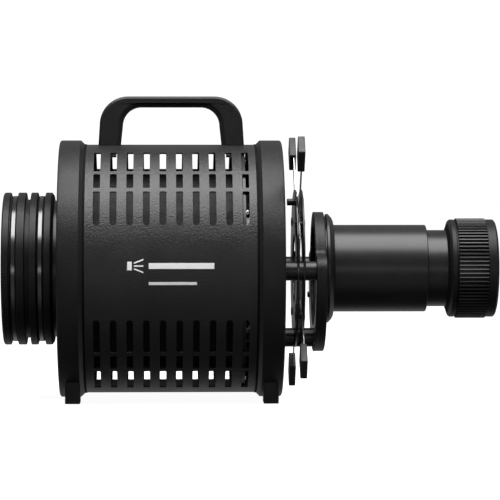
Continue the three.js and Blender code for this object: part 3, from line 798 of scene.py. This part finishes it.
def lens_tube():
    """The barrel, and the draw tube inside it with its two lenses and their retainer."""
    x0, x1 = span("lens_barrel")
    r, bore, chamfer = radius("lens_barrel"), radius("draw_tube") + 0.2, 0.5
    barrel = [(x0, bore), (x0, r), (x1 - chamfer, r), (x1, r - chamfer), (x1, bore)]
    place(turned("lens_barrel_turned", barrel), ANODISED, "lens_barrel")
    x0, x1 = span("draw_tube")
    r = radius("draw_tube")
    place(turned("draw_tube_turned", ring_outline(x0, x1, r - 2.6, r)), ANODISED, "draw_tube")
    lens("projection_lens_rear", PROJECTION_BULGE)
    lens("projection_lens_front", PROJECTION_BULGE)
    x0, x1 = span("lens_retainer")
    r = radius("lens_retainer")
    retainer = turned("lens_retainer_turned", [(x0, 22.5), (x0, r), (x1, r), (x1, 24.5)])
    place(retainer, ANODISED, "lens_retainer")


def focus_ring():
    """A turned ring with a bed for its ribs, and a near-black soft cone behind it that closes on the tube; the
    cone's colour is painted shade where the ring meets the tube.
    """
    x0, x1 = span("focus_ring")
    rib_r = radius("focus_ring")
    rim = rib_r - 0.9
    bed = rim - 2.4
    bore = radius("draw_tube") + 0.2
    rear, front = x0 + 6.3, x1 - 8.2
    # The cone's near-black rubber is painted shade on the tube just behind the ring.
    shade_seal = [(x0 - 1.6, bore + 0.1), (x0 - 1.6, bore + 0.8), (x0 + 0.1, rim - 2.9), (x0 + 0.1, bore + 0.1)]
    body = [(x0, bore), (x0, rim - 2.6), (x0 + 0.6, rim - 1.0), (x0 + 1.8, rim), (rear - 1.4, rim),
            (rear - 1.1, bed), (front, bed), (front, rim), (x1 - 1.8, rim), (x1 - 0.6, rim - 1.4),
            (x1, rim - 3.6), (x1, bore + 1.7), (x1 - 2.6, bore)]
    ring = turned("focus_ring_turned", body)
    ribs = flat("focus_ring_ribs", [rib_outline(bed, rib_r), circle(bed - 0.3, steps=96)],
                front - rear - 0.3, 0.12, across((rear + front) / 2))
    place(ring, DULL_ANODISED, "focus_ring")
    place(turned("focus_ring_shade_seal", shade_seal, edge=0.1), PAINTED_SHADE_RUBBER, body="focus_ring")
    place(ribs, ANODISED, body="focus_ring")


def rib_outline(bed, rib_r):
    """The end view of all the ring's ribs; a rib's corners are in parts of one rib's share of the turn."""
    count = 78
    profile = [(-0.27, bed + 0.2), (-0.25, rib_r - 0.3), (-0.12, rib_r), (0.12, rib_r), (0.25, rib_r - 0.3),
               (0.27, bed + 0.2)]
    return [polar(r, 360 * (i + part) / count) for i in range(count) for part, r in profile]


# ---------------------------------------------------------------- printed mark
def on_shell(name, corners):
    """A printed patch on the near side of the shell: four corners (x, z), laid onto its surface."""
    bm = bmesh.new()
    r, steps = SHELL_R + 0.04, 8
    left_low, right_low, right_high, left_high = (Vector(corner) for corner in corners)
    rows = []
    for i in range(steps + 1):
        row = []
        for x, z in (left_low.lerp(left_high, i / steps), right_low.lerp(right_high, i / steps)):
            a = math.asin(z / r)
            row.append(bm.verts.new(to_row(x, -r * math.cos(a), r * math.sin(a))))
        rows.append(row)
    for one, two in zip(rows, rows[1:]):
        bm.faces.new([one[0], one[1], two[1], two[0]])
    patch = new_object(name, bm)
    layer = patch.modifiers.new("ink", "SOLIDIFY")
    layer.thickness = 0.08 * MM
    layer.offset = 0
    place(patch, WHITE, body="housing")


def rectangle(x0, x1, z0, z1):
    return [(x0, z0), (x1, z0), (x1, z1), (x0, z1)]


def printed_mark():
    """A plain pictogram of a lamp with three rays, and two plain rules."""
    left, middle = 53.0, 5.4
    on_shell("mark_lamp", rectangle(left, left + 3.4, middle - 3.2, middle + 3.2))
    ray_start, ray_end, half = 5, 12, 0.55
    for i, slope in enumerate((-0.42, 0, 0.42)):
        x0, x1 = left + ray_start, left + ray_end
        z0, z1 = middle + slope * ray_start, middle + slope * (ray_end - 0.5)
        on_shell(f"mark_ray_{i}", [(x0, z0 - half), (x1, z1 - half), (x1, z1 + half), (x0, z0 + half)])
    rules = left + 16
    on_shell("mark_rule_long", rectangle(rules, rules + 49, middle - 2.2, middle + 2.2))
    on_shell("mark_rule_short", rectangle(rules, rules + 36, middle - 14.2, middle - 12))


# ---------------------------------------------------------------- studio
FLOOR_GLOW, BACKDROP_GLOW = 0.95, 1.0
FLOOR_SIZE, BACKDROP_RADIUS = 24, 11.5  # metres, as are the lights' sizes and places
# The light from all round at each height, from 0 straight below to 1 straight above.
LIGHT_BY_HEIGHT = ((0.04, grey(0.05)), (0.2, grey(0.43)), (0.36, grey(0.29)), (0.46, grey(0.18)),
                   (0.56, grey(0.24)), (1.0, (0.32, 0.32, 0.33)))


def paper(name, glow):
    """Stage paper that glows evenly."""
    n = Nodes(name)
    n.tint(n.noise(3), grey(0.30), grey(0.32))
    n.set(Roughness=0.9, Specular_IOR_Level=0.0, Emission_Color=(1, 1, 1, 1), Emission_Strength=glow)
    return n.material


def stage_paper(name, glow):
    """Names the newest object, and makes it paper that puts no light or reflection on the part."""
    obj = bpy.context.object
    obj.name = name
    obj.data.materials.append(paper(name + "_paper", glow))
    obj.visible_diffuse = False
    obj.visible_glossy = False
    obj.visible_shadow = False


def studio():
    bpy.ops.mesh.primitive_plane_add(size=FLOOR_SIZE, location=(0, 0, 0))
    stage_paper("floor", FLOOR_GLOW)
    bpy.ops.mesh.primitive_uv_sphere_add(segments=64, ring_count=32, radius=BACKDROP_RADIUS)
    stage_paper("backdrop", BACKDROP_GLOW)
    surroundings()
    panel("softbox", 1.6, 1.0, 38, (0, -0.27, 1.19))
    panel("front_strip", 1.6, 0.22, 2.9, (0, -2.6, ORIGIN.z))


def surroundings():
    """The light from all round: it varies with height, and is weaker from the camera's side."""
    world = bpy.data.worlds.new("studio")
    bpy.context.scene.world = world
    world.use_nodes = True
    tree = world.node_tree
    background = tree.nodes["Background"]
    direction = tree.nodes.new("ShaderNodeSeparateXYZ")
    tree.links.new(tree.nodes.new("ShaderNodeTexCoord").outputs["Generated"], direction.inputs["Vector"])
    height = tree.nodes.new("ShaderNodeMapRange")
    height.inputs["From Min"].default_value = -1
    tree.links.new(direction.outputs["Z"], height.inputs["Value"])
    ramp = tree.nodes.new("ShaderNodeValToRGB")
    stops = ramp.color_ramp.elements
    lowest, *between, highest = LIGHT_BY_HEIGHT
    for stop, (position, colour) in zip(stops, (lowest, highest)):
        stop.position = position
        stop.color = (*colour, 1)
    for position, colour in between:
        stops.new(position).color = (*colour, 1)
    tree.links.new(height.outputs["Result"], ramp.inputs["Fac"])
    tree.links.new(ramp.outputs["Color"], background.inputs["Color"])
    depth = tree.nodes.new("ShaderNodeMapRange")
    for socket, value in (("From Min", -0.6), ("From Max", 0.3), ("To Min", 0.7), ("To Max", 1.0)):
        depth.inputs[socket].default_value = value
    tree.links.new(direction.outputs["Y"], depth.inputs["Value"])
    tree.links.new(depth.outputs["Result"], background.inputs["Strength"])


def aim(obj, target):
    """Turns a light or a camera towards a point, and adds it to the scene."""
    obj.rotation_euler = (target - obj.location).to_track_quat("-Z", "Y").to_euler()
    bpy.context.scene.collection.objects.link(obj)


def panel(name, wide, high, energy, location):
    """A lit rectangle that faces the middle of the object."""
    light = bpy.data.lights.new(name, "AREA")
    light.shape = "RECTANGLE"
    light.size, light.size_y = wide, high
    light.energy = energy
    obj = bpy.data.objects.new(name, light)
    obj.location = location
    aim(obj, Vector((0, 0, ORIGIN.z)))


def camera():
    """A long lens more than two metres away, a little below the height of the drum's top."""
    data = bpy.data.cameras.new("camera")
    data.sensor_width = 36
    data.lens = 201.6
    data.clip_end = 100
    obj = bpy.data.objects.new("camera", data)
    obj.location = to_row(79.7, -2184, 82)
    aim(obj, to_row(147.6, 0, 14.3))
    bpy.context.scene.camera = obj


collar()
end_rings()
shell()
handle()
feet()
inner_parts()
gate()
ties()
shutters()
lens_plate()
lens_flange()
lens_tube()
focus_ring()
printed_mark()
studio()
camera()
bpy.context.scene.view_settings.view_transform = "Standard"
bpy.context.view_layer.update()
